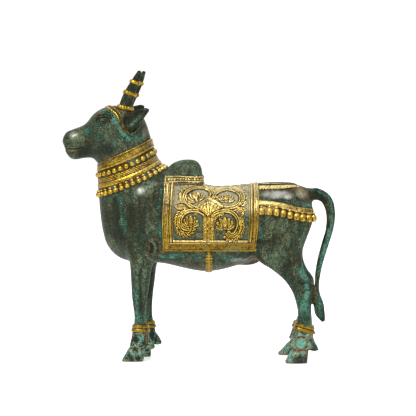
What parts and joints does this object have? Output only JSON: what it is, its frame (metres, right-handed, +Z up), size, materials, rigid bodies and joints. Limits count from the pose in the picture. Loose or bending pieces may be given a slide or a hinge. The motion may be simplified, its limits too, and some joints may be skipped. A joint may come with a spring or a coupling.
{
  "type": "nandi bull figure",
  "caption": "Standing Nandi bull cast in bronze with a green patina, gilded collar, saddle cloth with lotus scrolls, belled rump strap, ringed horns and anklets.",
  "frame": {"origin": "middle of the footprint at the level of the hooves' soles", "axes": "+Z up, the muzzle towards -X and the left flank, which the picture shows, towards -Y"},
  "size_m": [0.316, 0.1013, 0.3348],
  "materials": {
    "patinated_bronze": "dark grey-green verdigris patina, satin, with brown and red specks",
    "rubbed_gilding": "worn gold over brown recesses"
  },
  "bodies": {
    "root": {"nandi_bull": "patinated_bronze"}
  },
  "joints": []
}
